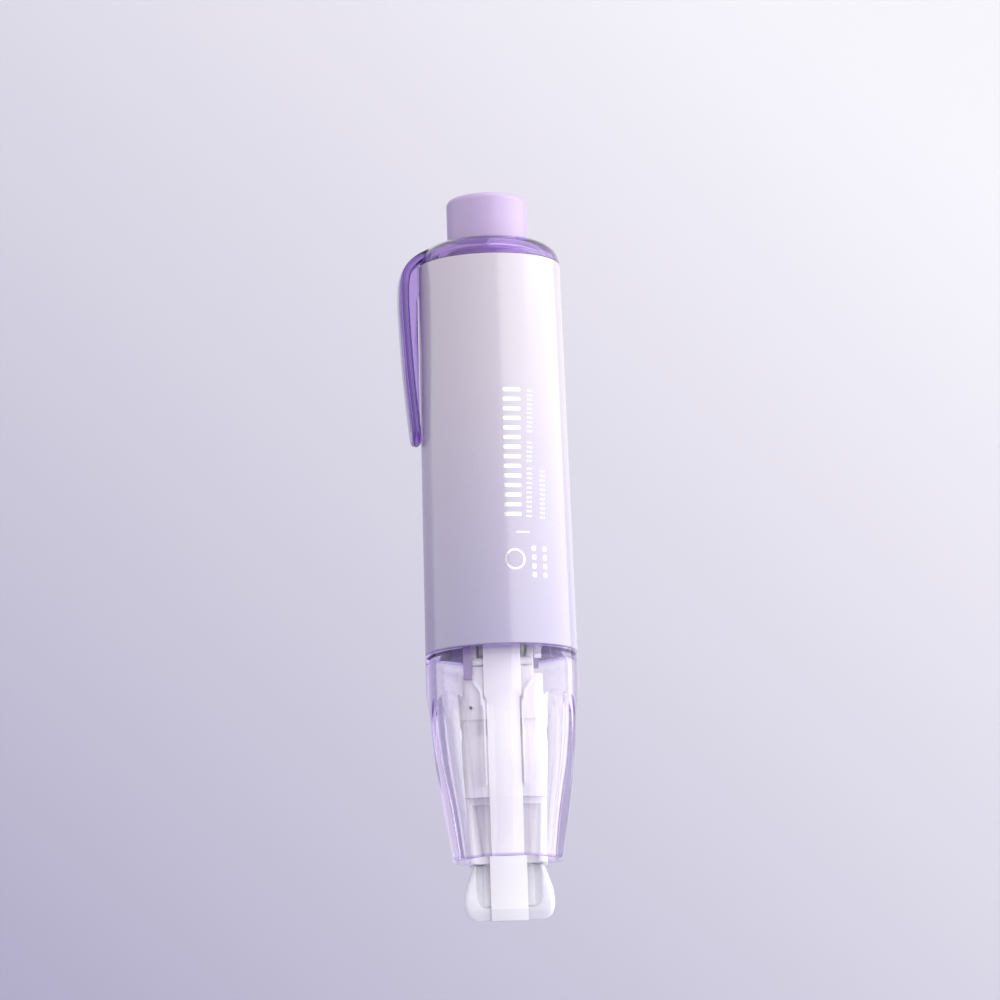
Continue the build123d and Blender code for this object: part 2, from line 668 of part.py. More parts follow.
def make_spent_film():
    """Backing film wound on the take-up spool."""
    return ring_x(TAKEUP_CORE_R + 0.02, FILM_ROLL_R, -TAPE_HALF, TAPE_HALF, TAKEUP_HEIGHT)


def make_tape_run():
    """White tape from the supply roll, down the front and over the head's edge."""
    points = [
        (-SUPPLY_R - TAPE_LIFT, SUPPLY_HEIGHT),
        (PIN_FRONT - GUIDE_PIN_R - TAPE_LIFT, PIN_HEIGHT),
        (-BOX_DEPTH_BOTTOM - TAPE_LIFT, BOX_BOTTOM),
        (-1.4 - TAPE_LIFT, 3.0),
        (-1.15 - TAPE_LIFT, 1.5),
        (-0.46, EDGE_HEIGHT),
        (0.05, EDGE_HEIGHT),
    ]
    return strip(points, 0.15)


def make_film_run():
    """Bare backing film from the head's edge, up the back to the take-up spool."""
    points = [
        (0.1, EDGE_HEIGHT),
        (0.46, EDGE_HEIGHT),
        (1.15 + TAPE_LIFT, 1.5),
        (1.4 + TAPE_LIFT, 3.0),
        (2.75, 9.5),
        (NECK_DEPTH, BOX_BOTTOM + 0.3),
        (FILM_ROLL_R + TAPE_LIFT, TAKEUP_HEIGHT),
    ]
    return strip(points, 0.1)


def main():
    os.makedirs("parts", exist_ok=True)
    body = make_cartridge_body()
    pieces = {
        "barrel_sleeve": make_barrel_sleeve(),
        "clip_cap": make_clip_cap(),
        "push_button": make_push_button(),
        "nose_grip": make_nose_grip(),
        "coupling_ring": make_coupling_ring(),
        "latch_housing": make_latch_housing(),
        "index_rotor": make_index_rotor(),
        "return_spring": make_return_spring(),
        "spring_washer": make_spring_washer(),
        "rod_clip": make_rod_clip(),
        "carriage": make_carriage(),
        "cartridge_frame": make_cartridge_frame(body),
        "cartridge_cover": make_cartridge_cover(body),
        "guide_pin": make_guide_pin(),
        "applicator_head": make_applicator_head(),
        "supply_core": make_supply_core(),
        "tape_roll": make_tape_roll(),
        "clutch_ring": make_clutch_ring(),
        "supply_gear": make_supply_gear(),
        "idler_gear": make_idler_gear(),
        "takeup_spool": make_takeup_spool(),
        "spent_film": make_spent_film(),
        "tape_run": make_tape_run(),
        "film_run": make_film_run(),
    }
    for name, piece in pieces.items():
        export_step(Pos(0, 0, -GRIP_HEIGHT) * piece, os.path.join("parts", name + ".step"))


main()
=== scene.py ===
from math import cos, hypot, pi, radians, sin, sqrt

import bmesh
import bpy
from mathutils import Matrix, Vector


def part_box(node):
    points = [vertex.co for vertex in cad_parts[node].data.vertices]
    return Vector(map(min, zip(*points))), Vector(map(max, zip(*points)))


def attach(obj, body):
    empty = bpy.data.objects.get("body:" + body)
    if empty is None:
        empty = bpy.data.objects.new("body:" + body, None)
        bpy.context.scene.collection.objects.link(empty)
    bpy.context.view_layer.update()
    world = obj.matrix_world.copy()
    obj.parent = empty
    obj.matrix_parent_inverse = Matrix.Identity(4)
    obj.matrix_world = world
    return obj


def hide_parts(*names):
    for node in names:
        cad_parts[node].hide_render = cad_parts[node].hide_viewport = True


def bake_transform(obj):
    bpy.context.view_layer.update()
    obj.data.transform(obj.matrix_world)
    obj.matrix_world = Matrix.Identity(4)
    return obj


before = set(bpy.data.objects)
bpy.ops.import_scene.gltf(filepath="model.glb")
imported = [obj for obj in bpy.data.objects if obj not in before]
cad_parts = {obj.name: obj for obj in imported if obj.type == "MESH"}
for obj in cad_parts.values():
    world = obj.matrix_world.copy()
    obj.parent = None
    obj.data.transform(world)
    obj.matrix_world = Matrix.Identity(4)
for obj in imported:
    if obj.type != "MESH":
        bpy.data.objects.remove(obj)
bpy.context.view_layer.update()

# Lengths below are millimetres, and heights are above the tip of the extended head.
MM = 0.001
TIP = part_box("tape_run")[0].z


def level(z):
    """A height in the frame, in metres, as millimetres above the tip."""
    return (z - TIP) / MM


SLEEVE_LOW, SLEEVE_HIGH = [level(corner.z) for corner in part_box("barrel_sleeve")]
SLEEVE_R_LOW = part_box("barrel_sleeve")[1].x / MM
SLEEVE_TAPER = 0.57
SLEEVE_R_HIGH = SLEEVE_R_LOW - SLEEVE_TAPER
SLEEVE_WALL = 0.85
CAP_HIGH = level(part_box("clip_cap")[1].z)
BUTTON_LOW, BUTTON_HIGH = [level(corner.z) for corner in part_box("push_button")]
NOSE_LOW, NOSE_HIGH = [level(corner.z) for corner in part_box("nose_grip")]


# ------------------------------------------------------------------ mesh tools


def place(x, y, z):
    """A point in millimetres above the tip, as a point in the frame."""
    return Vector((x * MM, y * MM, TIP + z * MM))


SHARP = radians(35)


def mesh_object(name, points, faces, sharp=SHARP):
    """A mesh object from points in millimetres, smooth except across sharp edges."""
    mesh = bpy.data.meshes.new(name)
    mesh.from_pydata([place(*p) for p in points], [], faces)
    build = bmesh.new()
    build.from_mesh(mesh)
    bmesh.ops.remove_doubles(build, verts=build.verts, dist=1e-7)
    bmesh.ops.dissolve_degenerate(build, edges=build.edges, dist=1e-8)
    bmesh.ops.recalc_face_normals(build, faces=build.faces)
    build.to_mesh(mesh)
    build.free()
    mesh.shade_smooth()
    mesh.set_sharp_from_angle(angle=sharp)
    thing = bpy.data.objects.new(name, mesh)
    bpy.context.scene.collection.objects.link(thing)
    return thing


def rounded(corners, steps=6):
    """A closed outline whose corners, each (a, b, radius), are rounded with arcs."""
    points = []
    count = len(corners)
    for i in range(count):
        here = Vector(corners[i][:2])
        radius = corners[i][2]
        before = (Vector(corners[i - 1][:2]) - here).normalized()
        after = (Vector(corners[(i + 1) % count][:2]) - here).normalized()
        if radius == 0:
            points.append(tuple(here))
            continue
        half = before.angle(after) / 2
        centre = here + (before + after).normalized() * radius / sin(half)
        start = here + before * radius / (sin(half) / cos(half)) - centre
        end = here + after * radius / (sin(half) / cos(half)) - centre
        turn = start.angle_signed(end)
        for k in range(steps + 1):
            spin = Matrix.Rotation(-turn * k / steps, 2)
            points.append(tuple(centre + spin @ start))
    return points


def run(low, high, steps):
    """Evenly spaced values after low, up to high."""
    return [low + (high - low) * k / steps for k in range(1, steps + 1)]


def smooth_curve(stations):
    """A smooth function through (position, value) stations, flat beyond its ends."""
    xs = [s[0] for s in stations]
    ys = [s[1] for s in stations]
    slopes = [0.0] * len(xs)
    for i in range(1, len(xs) - 1):
        left = (ys[i] - ys[i - 1]) / (xs[i] - xs[i - 1])
        right = (ys[i + 1] - ys[i]) / (xs[i + 1] - xs[i])
        slopes[i] = 0.0 if left * right <= 0 else 2 * left * right / (left + right)
    slopes[0] = (ys[1] - ys[0]) / (xs[1] - xs[0])
    slopes[-1] = (ys[-1] - ys[-2]) / (xs[-1] - xs[-2])

    def value(x):
        if x <= xs[0]:
            return ys[0]
        if x >= xs[-1]:
            return ys[-1]
        i = max(k for k in range(len(xs) - 1) if xs[k] <= x)
        span = xs[i + 1] - xs[i]
        t = (x - xs[i]) / span
        a = (1 + 2 * t) * (1 - t) ** 2 * ys[i] + t * (1 - t) ** 2 * span * slopes[i]
        b = t * t * (3 - 2 * t) * ys[i + 1] + t * t * (t - 1) * span * slopes[i + 1]
        return a + b

    return value


def rings_surface(name, rings, sharp=SHARP):
    """A skin over rings of equal point counts, each joined to the next and the last to the first."""
    points = [p for ring in rings for p in ring]
    count = len(rings[0])
    faces = []
    for i in range(len(rings)):
        a = i * count
        b = (i + 1) % len(rings) * count
        for k in range(count):
            n = (k + 1) % count
            faces.append((a + k, a + n, b + n, b + k))
    return mesh_object(name, points, faces, sharp)


def lathe(name, outline, segments=128, sharp=SHARP):
    """A closed outline of (radius, height) turned about the pen's axis."""
    rings = []
    for r, z in outline:
        angles = [2 * pi * k / segments for k in range(segments)]
        rings.append([(max(r, 0) * cos(a), max(r, 0) * sin(a), z) for a in angles])
    return rings_surface(name, rings, sharp)


def sleeve_r(z):
    """The sleeve's outer radius at a height."""
    return SLEEVE_R_LOW - SLEEVE_TAPER * (z - SLEEVE_LOW) / (SLEEVE_HIGH - SLEEVE_LOW)


# ------------------------------------------------------------------ materials


def start_material(name):
    """A new node material: (material, nodes, links, principled shader, output)."""
    mat = bpy.data.materials.new(name)
    mat.use_nodes = True
    nodes = mat.node_tree.nodes
    links = mat.node_tree.links
    nodes.clear()
    output = nodes.new("ShaderNodeOutputMaterial")
    shader = nodes.new("ShaderNodeBsdfPrincipled")
    links.new(shader.outputs["BSDF"], output.inputs["Surface"])
    return mat, nodes, links, shader, output


def position_input(nodes):
    """Object-space coordinates in metres."""
    return nodes.new("ShaderNodeTexCoord").outputs["Object"]


def noise(nodes, links, scale, detail=4.0, rough=0.5):
    """A noise texture over object space, with its size set by scale."""
    texture = nodes.new("ShaderNodeTexNoise")
    texture.inputs["Scale"].default_value = scale
    texture.inputs["Detail"].default_value = detail
    texture.inputs["Roughness"].default_value = rough
    links.new(position_input(nodes), texture.inputs["Vector"])
    return texture.outputs["Fac"]


def ramp(nodes, links, source, stops):
    """A colour ramp fed by source, with (position, colour) stops."""
    node = nodes.new("ShaderNodeValToRGB")
    while len(node.color_ramp.elements) < len(stops):
        node.color_ramp.elements.new(0.5)
    for element, (position, colour) in zip(node.color_ramp.elements, stops):
        element.position = position
        element.color = (*colour, 1.0)
    links.new(source, node.inputs["Fac"])
    return node.outputs["Color"]


def spread(nodes, links, source, low, high):
    """source, which runs from 0 to 1, remapped to run from low to high."""
    node = nodes.new("ShaderNodeMapRange")
    node.inputs["To Min"].default_value = low
    node.inputs["To Max"].default_value = high
    links.new(source, node.inputs["Value"])
    return node.outputs["Result"]


def add_bump(nodes, links, shader, height, strength, distance):
    """Bump from a height socket, with distance in metres."""
    bump = nodes.new("ShaderNodeBump")
    bump.inputs["Strength"].default_value = strength
    bump.inputs["Distance"].default_value = distance
    links.new(height, bump.inputs["Height"])
    links.new(bump.outputs["Normal"], shader.inputs["Normal"])


# Noise scales, in cells for each metre.
CLOUDS = 160.0
FLOW_MARKS = 120.0
FINE_GRAIN = 3600.0
GLOSS_IOR = 1.6


def moulded(name, dark, light, rough, bump=0.15, coat=0.0, glaze=0.2, depth=0.0):
    """Opaque or slightly translucent moulded plastic with a fine surface grain."""
    mat, nodes, links, shader, _ = start_material(name)
    cloud = noise(nodes, links, CLOUDS, 3.0)
    links.new(ramp(nodes, links, cloud, [(0.3, dark), (0.7, light)]), shader.inputs["Base Color"])
    fine = noise(nodes, links, FINE_GRAIN, 5.0, 0.6)
    links.new(spread(nodes, links, fine, rough * 0.8, rough * 1.25), shader.inputs["Roughness"])
    add_bump(nodes, links, shader, fine, bump, 0.00002)
    shader.inputs["IOR"].default_value = 1.5
    shader.inputs["Coat Weight"].default_value = coat
    shader.inputs["Coat IOR"].default_value = GLOSS_IOR
    shader.inputs["Coat Roughness"].default_value = glaze
    if depth:
        shader.inputs["Subsurface Weight"].default_value = 0.8
        shader.inputs["Subsurface Radius"].default_value = (depth, depth, depth * 1.1)
        shader.inputs["Subsurface Scale"].default_value = 1.0
    return mat


def let_light_in(nodes, links, shader, output, colour):
    """Lets the lamps' light pass through, tinted by colour, so that what lies behind is lit."""
    through = nodes.new("ShaderNodeBsdfTransparent")
    through.inputs["Color"].default_value = (*colour, 1.0)
    path = nodes.new("ShaderNodeLightPath")
    mix = nodes.new("ShaderNodeMixShader")
    links.new(path.outputs["Is Shadow Ray"], mix.inputs["Fac"])
    links.new(shader.outputs["BSDF"], mix.inputs[1])
    links.new(through.outputs["BSDF"], mix.inputs[2])
    links.new(mix.outputs["Shader"], output.inputs["Surface"])


def height_bands(nodes, links, stops):
    """A colour that changes with height, from (millimetres above the tip, colour) stops."""
    split = nodes.new("ShaderNodeSeparateXYZ")
    links.new(position_input(nodes), split.inputs["Vector"])
    low, high = stops[0][0], stops[-1][0]
    along = nodes.new("ShaderNodeMapRange")
    along.inputs["From Min"].default_value = place(0, 0, low).z
    along.inputs["From Max"].default_value = place(0, 0, high).z
    links.new(split.outputs["Z"], along.inputs["Value"])
    places = [((z - low) / (high - low), colour) for z, colour in stops]
    return ramp(nodes, links, along.outputs["Result"], places)


def clear_plastic(name, tint, absorb, density, ior, gloss, bands=None):
    """Clear plastic: tinted with depth, faint flow marks, optional bands of painted reflection, and open to
    the lamps' light.
    """
    mat, nodes, links, shader, output = start_material(name)
    shader.inputs["Transmission Weight"].default_value = 1.0
    shader.inputs["IOR"].default_value = ior
    cloud = noise(nodes, links, 300.0, 3.0)
    links.new(spread(nodes, links, cloud, 0.01, 0.04), shader.inputs["Roughness"])
    stops = [(0.3, tint), (0.7, [min(1, c * 1.02) for c in tint])]
    colour = ramp(nodes, links, cloud, stops)
    # Painted reflection: bands of deeper tint, multiplied into the colour at given heights.
    if bands:
        mix = nodes.new("ShaderNodeMix")
        mix.data_type = "RGBA"
        mix.blend_type = "MULTIPLY"
        mix.inputs["Factor"].default_value = 1.0
        # Sockets 6 and 7 are the two colours, and output 2 is the mixed one.
        links.new(colour, mix.inputs[6])
        links.new(height_bands(nodes, links, bands), mix.inputs[7])
        colour = mix.outputs[2]
    links.new(colour, shader.inputs["Base Color"])
    add_bump(nodes, links, shader, noise(nodes, links, FLOW_MARKS, 1.0), 0.03, 0.0001)
    shader.inputs["Coat Weight"].default_value = 1.0
    shader.inputs["Coat IOR"].default_value = gloss
    shader.inputs["Coat Roughness"].default_value = 0.03
    let_light_in(nodes, links, shader, output, tint)
    volume = nodes.new("ShaderNodeVolumeAbsorption")
    volume.inputs["Color"].default_value = (*absorb, 1.0)
    volume.inputs["Density"].default_value = density
    links.new(volume.outputs["Volume"], output.inputs["Volume"])
    return mat


def sleeve_material():
    """Satin lacquer that fades from pinkish white at the top to lilac at the bottom."""
    mat, nodes, links, shader, output = start_material("sleeve_lacquer")
    stops = [
        (SLEEVE_LOW, (0.42, 0.385, 0.54)),
        (52.7, (0.475, 0.435, 0.555)),
        (71.8, (0.55, 0.50, 0.565)),
        (SLEEVE_HIGH, (0.57, 0.52, 0.57)),
    ]
    links.new(height_bands(nodes, links, stops), shader.inputs["Base Color"])
    fine = noise(nodes, links, 4000.0, 4.0, 0.6)
    links.new(spread(nodes, links, fine, 0.24, 0.34), shader.inputs["Roughness"])
    add_bump(nodes, links, shader, noise(nodes, links, 260.0, 2.0), 0.05, 0.00005)
    shader.inputs["Specular IOR Level"].default_value = 1.0
    shader.inputs["Coat Weight"].default_value = 1.0
    shader.inputs["Coat IOR"].default_value = GLOSS_IOR
    shader.inputs["Coat Roughness"].default_value = 0.12
    let_light_in(nodes, links, shader, output, (0.92, 0.88, 0.96))
    return mat


def foil_material():
    """Hot-stamped silver foil: bright, a little worn."""
    mat, nodes, links, shader, _ = start_material("silver_foil")
    cloud = noise(nodes, links, 900.0, 6.0, 0.7)
    links.new(ramp(nodes, links, cloud, [(0.3, (0.58, 0.57, 0.60)), (0.6, (0.76, 0.75, 0.77))]),
              shader.inputs["Base Color"])
    links.new(spread(nodes, links, cloud, 0.08, 0.2), shader.inputs["Roughness"])
    shader.inputs["Metallic"].default_value = 1.0
    add_bump(nodes, links, shader, cloud, 0.2, 0.00003)
    return mat


def paper_material(name, tone):
    """Matt tape: a smooth white coating with a trace of fibre."""
    mat, nodes, links, shader, _ = start_material(name)
    fibre = noise(nodes, links, 2600.0, 6.0, 0.65)
    lighter = [min(1.0, c * 1.03) for c in tone]
    links.new(ramp(nodes, links, fibre, [(0.35, tone), (0.65, lighter)]), shader.inputs["Base Color"])
    links.new(spread(nodes, links, fibre, 0.45, 0.62), shader.inputs["Roughness"])
    add_bump(nodes, links, shader, fibre, 0.1, 0.00001)
    shader.inputs["Sheen Weight"].default_value = 0.1
    return mat


def steel_material():
    """Drawn spring wire."""
    mat, nodes, links, shader, _ = start_material("spring_wire")
    drawn = noise(nodes, links, 3000.0, 4.0, 0.6)
    links.new(ramp(nodes, links, drawn, [(0.3, (0.50, 0.50, 0.52)), (0.7, (0.66, 0.66, 0.68))]),
              shader.inputs["Base Color"])
    links.new(spread(nodes, links, drawn, 0.2, 0.38), shader.inputs["Roughness"])
    shader.inputs["Metallic"].default_value = 1.0
    add_bump(nodes, links, shader, drawn, 0.1, 0.00001)
    return mat


# Painted reflection: the nose is tinted deeper purple at its lip and where it enters the sleeve, standing
# in for the purple lines that internal reflection shows there.
REFLECTION_TINT = (0.72, 0.6, 0.92)
NO_TINT = (1.0, 1.0, 1.0)
NOSE_REFLECTION_BANDS = [
    (NOSE_LOW, REFLECTION_TINT),
    (8.4, REFLECTION_TINT),
    (8.6, NO_TINT),
    (SLEEVE_LOW - 0.7, NO_TINT),
    (SLEEVE_LOW - 0.2, REFLECTION_TINT),
    (NOSE_HIGH, REFLECTION_TINT),
]
MATERIALS = {
    "sleeve": sleeve_material(),
    "foil": foil_material(),
    "purple": clear_plastic("purple_clear", (0.95, 0.93, 0.99), (0.46, 0.16, 0.73), 560.0,
                            ior=1.45, gloss=1.4),
    "nose": clear_plastic("nose_clear", (0.995, 0.99, 1.0), (0.44, 0.2, 0.73), 60.0,
                          ior=1.14, gloss=1.55, bands=NOSE_REFLECTION_BANDS),
    "button": moulded("button_lilac", (0.47, 0.355, 0.58), (0.50, 0.385, 0.61), 0.42, coat=1.0, glaze=0.34),
    "lilac": moulded("lilac_moulding", (0.58, 0.48, 0.80), (0.64, 0.54, 0.84), 0.4),
    "white": moulded("white_moulding", (0.74, 0.68, 0.84), (0.78, 0.72, 0.87), 0.4),
    "acetal": moulded("acetal", (0.82, 0.82, 0.81), (0.88, 0.88, 0.86), 0.35, depth=0.0006),
    "refill": moulded("refill_plastic", (0.87, 0.86, 0.90), (0.92, 0.91, 0.94), 0.3, depth=0.0015),
    "head": moulded("head_plastic", (0.79, 0.79, 0.81), (0.85, 0.85, 0.87), 0.28, depth=0.002),
    "carriage": moulded("carriage_plastic", (0.30, 0.23, 0.42), (0.36, 0.28, 0.48), 0.4),
    "rubber": moulded("clutch_rubber", (0.03, 0.03, 0.032), (0.05, 0.05, 0.052), 0.7, bump=0.4),
    "tape": paper_material("tape_white", (0.955, 0.955, 0.94)),
    "film": paper_material("film_clear", (0.80, 0.82, 0.85)),
    "steel": steel_material(),
}


def dress(thing, material):
    """Gives an object one material."""
    thing.data.materials.clear()
    thing.data.materials.append(MATERIALS[material])


# ------------------------------------------------------------------ outer shell


def make_sleeve():
    """Tapered outer tube with small rounded rims."""
    wall = SLEEVE_WALL
    outline = rounded(
        [
            (SLEEVE_R_LOW - wall, SLEEVE_LOW, 0.12),
            (SLEEVE_R_LOW, SLEEVE_LOW, 0.25),
            (SLEEVE_R_HIGH, SLEEVE_HIGH, 0.2),
            (SLEEVE_R_HIGH - wall, SLEEVE_HIGH, 0.1),
        ]
    )
    sleeve = lathe("sleeve", outline, 192)
    dress(sleeve, "sleeve")
    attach(sleeve, "shell")
    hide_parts("barrel_sleeve")


BUTTON_R = 5.56
BUTTON_BORE = 4.3
BUTTON_FLANGE_R = 6.4
BUTTON_FLANGE = 1.0
BUTTON_EDGE = 1.0
BUTTON_TOP = 1.3
BUTTON_DISH = 0.12


def make_button():
    """Opaque push button: a cup with a rounded rim and a faintly dished top."""
    low, high = BUTTON_LOW, BUTTON_HIGH
    outline = rounded(
        [
            (BUTTON_BORE, low, 0.1),
            (BUTTON_FLANGE_R, low, 0.2),
            (BUTTON_FLANGE_R, low + BUTTON_FLANGE, 0.2),
            (BUTTON_R, low + BUTTON_FLANGE, 0.05),
            (BUTTON_R, high, BUTTON_EDGE),
            (BUTTON_R - 2.2, high - BUTTON_DISH / 4, 0.8),
            (0.0, high - BUTTON_DISH, 0),
            (0.0, high - BUTTON_TOP, 0),
            (BUTTON_BORE, high - BUTTON_TOP, 0.4),
        ]
    )
    button = lathe("button", outline, 128, radians(50))
    dress(button, "button")
    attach(button, "button")
    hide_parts("push_button")


# ------------------------------------------------------------------ cap and clip

CLIP_TURN = radians(9)
CLIP_HALF = 2.2
CLIP_THICK = 1.2
CLIP_CORNER = 0.42
# The blade's outer face and the web's outline in side view, as (radius, height).
CLIP_FACE = [(11.34, 65.0), (11.67, 68.7), (12.13, 74.1), (12.43, 79.6), (12.6, 85.5), (12.25, 89.0),
             (10.9, 91.0), (8.6, 92.35), (7.2, 92.5)]
WEB_HALF = 1.3
WEB_EDGE = 0.2
WEB_OUTLINE = [(sleeve_r(67.0) + 0.4, 67.0), (11.2, 67.2), (11.53, 74.1), (11.83, 79.6), (12.0, 85.5),
               (11.7, 88.4), (10.6, 90.3), (9.4, 91.2), (9.0, 90.6), (9.93, 90.12), (9.98, 86.5),
               (10.16, 86.1), (10.3, 80.0), (10.36, 74.0)]
WEB_MIDDLE = (11.0, 80.0)
WEB_HUGS_BELOW = 10.9


def catmull(points, steps):
    """A dense smooth line through points."""
    line = []
    ends = [Vector(points[0]) * 2 - Vector(points[1])] + [Vector(p) for p in points]
    ends.append(Vector(points[-1]) * 2 - Vector(points[-2]))
    for i in range(1, len(ends) - 2):
        p0, p1, p2, p3 = ends[i - 1:i + 3]
        for k in range(steps):
            t = k / steps
            line.append(0.5 * (2 * p1 + (p2 - p0) * t + (2 * p0 - 5 * p1 + 4 * p2 - p3) * t * t
                               + (3 * p1 - p0 - 3 * p2 + p3) * t ** 3))
    line.append(ends[-2])
    return line


def bar_section(half_width, half_thick, corner, steps=5):
    """A rounded rectangle as (across, outward) points."""
    w, t = max(half_width, 0.02), max(half_thick, 0.02)
    r = min(corner, w * 0.98, t * 0.98)
    return rounded([(-w, -t, r), (w, -t, r), (w, t, r), (-w, t, r)], steps)


def make_clip_blade():
    """The clip's blade: a bent bar with rounded edges and a half-round tip, rooted in the cap."""
    face = catmull(CLIP_FACE, 14)
    rings = []
    travelled = 0.0
    for i, point in enumerate(face):
        if i:
            travelled += (point - face[i - 1]).length
        tangent = (face[min(i + 1, len(face) - 1)] - face[max(i - 1, 0)]).normalized()
        outward = Vector((tangent.y, -tangent.x))
        near_tip = min(travelled / CLIP_HALF, 1.0)
        half_width = CLIP_HALF * sqrt(max(1 - (1 - near_tip) ** 2, 0.0))
        thin = min(travelled / (CLIP_THICK / 2), 1.0)
        half_thick = CLIP_THICK / 2 * sqrt(max(1 - (1 - thin) ** 2, 0.03))
        middle = point - outward * CLIP_THICK / 2
        ring = []
        for across, out in bar_section(half_width, half_thick, CLIP_CORNER):
            spot = middle + outward * out
            ring.append((spot.x, across, spot.y))
        rings.append(ring)
    return rings


def turn_clip(point):
    """A point of the clip's side view, (radius, across, height), turned to the clip's direction."""
    r, across, z = point
    a = pi + CLIP_TURN
    return (r * cos(a) - across * sin(a), r * sin(a) + across * cos(a), z)


def closed_rings(name, rings, sharp=SHARP):
    """An open run of rings closed with a fan at each end."""
    count = len(rings[0])
    points = [p for ring in rings for p in ring]
    faces = []
    for i in range(len(rings) - 1):
        for k in range(count):
            n = (k + 1) % count
            faces.append((i * count + k, i * count + n, (i + 1) * count + n, (i + 1) * count + k))
    faces.append(tuple(range(count))[::-1])
    faces.append(tuple(range((len(rings) - 1) * count, len(rings) * count)))
    return mesh_object(name, points, faces, sharp)


def make_web():
    """Thin web between the blade and the sleeve, curved to the sleeve on its inner side."""
    half = WEB_HALF
    flat = half - WEB_EDGE
    rings = []
    for across, inset in ((-half, WEB_EDGE), (-flat, 0.0), (flat, 0.0), (half, WEB_EDGE)):
        ring = []
        for spot in WEB_OUTLINE:
            pull = (Vector(WEB_MIDDLE) - Vector(spot)).normalized() * inset
            r, z = Vector(spot) + pull
            near = sqrt(r ** 2 - across ** 2) if spot[0] < WEB_HUGS_BELOW else r
            ring.append(turn_clip((near, across, z)))
        rings.append(ring)
    return closed_rings("clip_web", rings)


def unite(body, others):
    """Joins other closed meshes to body as one volume."""
    for other in others:
        modifier = body.modifiers.new("union", "BOOLEAN")
        modifier.operation = "UNION"
        modifier.solver = "EXACT"
        modifier.object = other
        evaluated = body.evaluated_get(bpy.context.evaluated_depsgraph_get())
        mesh = bpy.data.meshes.new_from_object(evaluated)
        body.modifiers.remove(modifier)
        body.data = mesh
        bpy.data.objects.remove(other)
    body.data.shade_smooth()
    body.data.set_sharp_from_angle(angle=radians(32))


CAP_HOLE = 5.66
CAP_WALL = 1.2
CAP_SHOULDER = 5.9
SPIGOT_R = 8.9
SPIGOT_BORE = 8.3
SPIGOT_LOW = 84.5


def dome(reach, rise, steps=24):
    """A quarter ellipse from the sleeve's end up to the cap's shoulder, as (radius, height) points."""
    turns = [pi / 2 * k / steps for k in range(steps + 1)]
    return [(CAP_SHOULDER + reach * cos(t), SLEEVE_HIGH + rise * sin(t)) for t in turns]


def make_cap():
    """Clear domed cap with its clip, as one volume."""
    hole, wall, top = CAP_HOLE, CAP_WALL, CAP_HIGH
    reach, rise = SLEEVE_R_HIGH - CAP_SHOULDER, CAP_HIGH - SLEEVE_HIGH
    rim = [(hole + 0.25, top), (hole + 0.07, top - 0.07), (hole, top - 0.25), (hole, top - wall + 0.1),
           (hole + 0.1, top - wall)]
    foot = SPIGOT_LOW
    spigot = [(SPIGOT_BORE, SLEEVE_HIGH - 0.3), (SPIGOT_BORE, foot + 0.2), (SPIGOT_BORE + 0.1, foot),
              (SPIGOT_R - 0.1, foot), (SPIGOT_R, foot + 0.2), (SPIGOT_R, SLEEVE_HIGH)]
    outline = dome(reach, rise) + rim + dome(reach - wall, rise - wall)[::-1] + spigot
    cap = lathe("clip_cap_clear", outline, 192)
    blade = closed_rings("clip_blade", [[turn_clip(p) for p in ring] for ring in make_clip_blade()])
    unite(cap, [blade, make_web()])
    dress(cap, "purple")
    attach(cap, "shell")
    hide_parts("clip_cap")


# ------------------------------------------------------------------ clear nose

FLUTES = 8
FLUTE_R = 9.0
FLUTE_END = 26.4
NOSE_RIDGE = smooth_curve(
    [(8.6, 8.0), (10.4, 8.31), (13.7, 8.85), (16.2, 9.25), (21.9, 10.05), (28.4, 10.36), (32.0, 10.39)]
)
NOSE_BORE = smooth_curve(
    [(9.5, 6.45), (14.0, 7.0), (16.8, 7.45), (22.0, 8.35), (28.0, 8.85), (32.0, 8.95)]
)
FLUTE_ROUNDING = 0.1
LIP = 0.45
LIP_LOW = 8.1
LIP_BORE = 6.45
NECK_R = 8.9
NECK_BORE = 8.4
NECK_HIGH = 41.5
LUG_R = 9.3
LUG_LOW, LUG_HIGH = 39.5, 40.5
LUG_TURN = radians(12)
LUGS = 3


def flute_floor(z):
    """How far out the floor of a flute lies at a height: a shallow arc."""
    up = z - LIP_LOW
    return 6.855 + 0.1845 * up - 0.00273 * up ** 2


def smooth_min(a, b, width):
    """The lesser of a and b, with the crease between them rounded over width."""
    h = max(width - abs(a - b), 0.0) / width
    return min(a, b) - h * h * width / 4


def nose_outer(angle, z):
    """The nose's outer radius: a ridge profile cut by eight flutes with arched tops."""
    ridge = NOSE_RIDGE(max(z, LIP_LOW + LIP))
    if z < LIP_LOW + LIP:
        t = (LIP_LOW + LIP - z) / LIP
        ridge -= LIP * (1 - sqrt(max(1 - t * t, 0.0)))
    step = 2 * pi / FLUTES
    off = (angle + pi / 2 + step / 2) % step - step / 2
    centre = flute_floor(min(z, FLUTE_END)) + FLUTE_R
    reach = FLUTE_R ** 2 - max(z - FLUTE_END, 0.0) ** 2 - (centre * sin(off)) ** 2
    if reach <= 0:
        return ridge
    return smooth_min(ridge, centre * cos(off) - sqrt(reach), FLUTE_ROUNDING)


def neck_outer(angle, z):
    """The neck's outer radius, with its bayonet lugs."""
    lug = LUG_LOW <= z <= LUG_HIGH and (angle % (2 * pi / LUGS)) < LUG_TURN
    return LUG_R if lug else NECK_R


